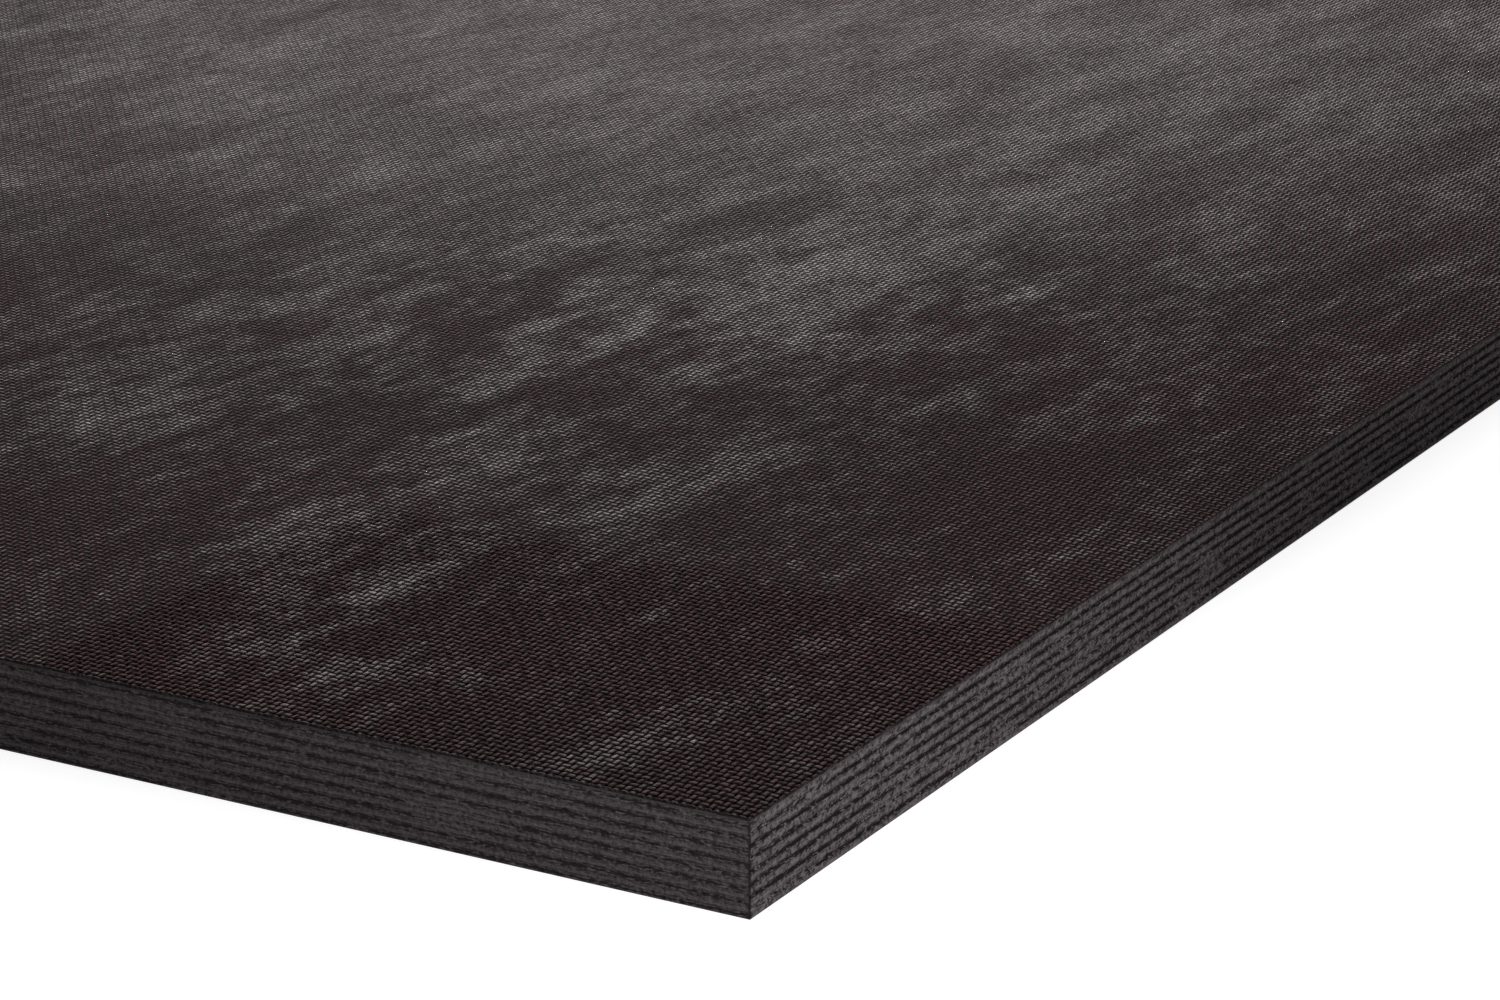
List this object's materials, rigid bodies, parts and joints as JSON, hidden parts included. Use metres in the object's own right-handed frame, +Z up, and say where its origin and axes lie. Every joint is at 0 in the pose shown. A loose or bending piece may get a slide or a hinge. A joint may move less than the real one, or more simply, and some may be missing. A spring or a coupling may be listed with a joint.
{
  "type": "plywood sheet",
  "caption": "Flat rectangular film-faced plywood sheet with cross-laminated veneers, an anti-slip wire-mesh top face, a smooth back and sealed dark edges.",
  "frame": {"origin": "centre of the underside, on the surface that the sheet lies on", "axes": "+X along the sheet's length and its face grain, +Y across its width, +Z up through its thickness to the wire-mesh face"},
  "size_m": [2.5, 1.25, 0.021],
  "materials": {
    "wire_mesh_film": "dark brown phenolic film with a pressed wire-mesh imprint, semi-matt",
    "phenolic_film": "smooth dark brown phenolic film, satin gloss",
    "sealed_long_grain": "birch veneer, edge sealed with dark grey paint",
    "sealed_cross_grain": "birch veneer laid across, edge sealed with dark grey paint that soaks into the end grain"
  },
  "bodies": {
    "root": {"smooth_film": "phenolic_film", "veneer_01_back": "sealed_long_grain", "veneer_02_cross_grain": "sealed_cross_grain", "veneer_03_long_grain": "sealed_long_grain", "veneer_04_cross_grain": "sealed_cross_grain", "veneer_05_long_grain": "sealed_long_grain", "veneer_06_cross_grain": "sealed_cross_grain", "veneer_07_long_grain": "sealed_long_grain", "veneer_08_cross_grain": "sealed_cross_grain", "veneer_09_long_grain": "sealed_long_grain", "veneer_10_cross_grain": "sealed_cross_grain", "veneer_11_long_grain": "sealed_long_grain", "veneer_12_cross_grain": "sealed_cross_grain", "veneer_13_long_grain": "sealed_long_grain", "veneer_14_cross_grain": "sealed_cross_grain", "veneer_15_face": "sealed_long_grain", "wire_mesh_film": "wire_mesh_film"}
  },
  "joints": []
}
